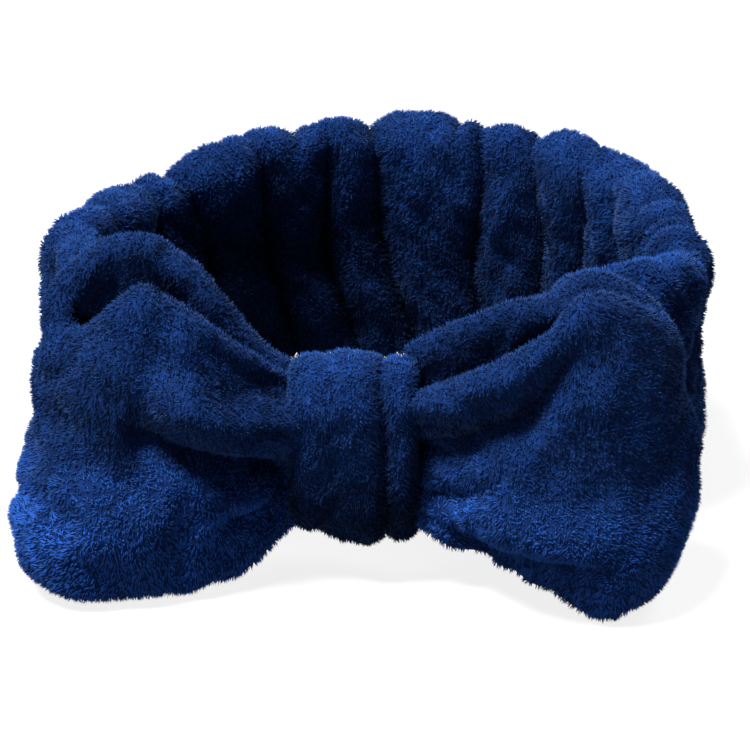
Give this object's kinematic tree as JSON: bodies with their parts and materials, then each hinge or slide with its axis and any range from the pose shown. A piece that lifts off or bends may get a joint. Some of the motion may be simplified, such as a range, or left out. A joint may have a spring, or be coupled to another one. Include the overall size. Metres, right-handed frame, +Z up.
{
  "type": "spa headband",
  "caption": "Plush spa headband: an elasticated, gathered fleece ring that holds hair off the face, with a large two-loop bow wrapped on at the front.",
  "frame": {"origin": "middle of the footprint, on the surface that the headband stands on", "axes": "+Z up through the ring's opening, +X to the right of someone who faces the bow, the bow facing -Y"},
  "size_m": [0.184, 0.181, 0.092],
  "materials": {
    "navy_plush": "deep-pile coral fleece, navy blue, soft sheen along the pile",
    "navy_thread": "spun polyester sewing thread, navy blue",
    "white_elastic": "braided elastic, white, matt",
    "white_wadding": "bonded polyester wadding, white, matt"
  },
  "bodies": {
    "band": {"front_sleeve": "navy_plush", "front_sleeve_seam_thread": "navy_thread", "elastic": "white_elastic", "elastic_join_stitch": "navy_thread", "bow_waist": "navy_plush", "gather_cord": "navy_thread", "knot_wrap": "navy_plush", "knot_closing_stitch": "navy_thread", "left_side_seam_thread": "navy_thread", "right_side_seam_thread": "navy_thread"},
    "band_back": {"back_sleeve": "navy_plush", "back_sleeve_seam_thread": "navy_thread"},
    "bow_left": {"left_loop_cover": "navy_plush", "left_loop_wadding": "white_wadding", "left_loop_seam_thread": "navy_thread"},
    "bow_right": {"right_loop_cover": "navy_plush", "right_loop_wadding": "white_wadding", "right_loop_seam_thread": "navy_thread"}
  },
  "joints": [
    {"name": "band_stretch", "type": "slide", "parent": "band", "child": "band_back", "axis": [0, 1, 0], "range_m": [0, 0.045], "stiffness_N_per_m": 180, "deforming": ["elastic"]},
    {"name": "bow_left_flex", "type": "hinge", "parent": "band", "child": "bow_left", "pos_m": [-0.018, -0.0725, 0.04], "axis": [0, 0, 1], "range_deg": [0, 30], "stiffness_Nm_per_rad": 0.02},
    {"name": "bow_right_flex", "type": "hinge", "parent": "band", "child": "bow_right", "pos_m": [0.018, -0.0725, 0.04], "axis": [0, 0, -1], "range_deg": [0, 30], "stiffness_Nm_per_rad": 0.02}
  ]
}
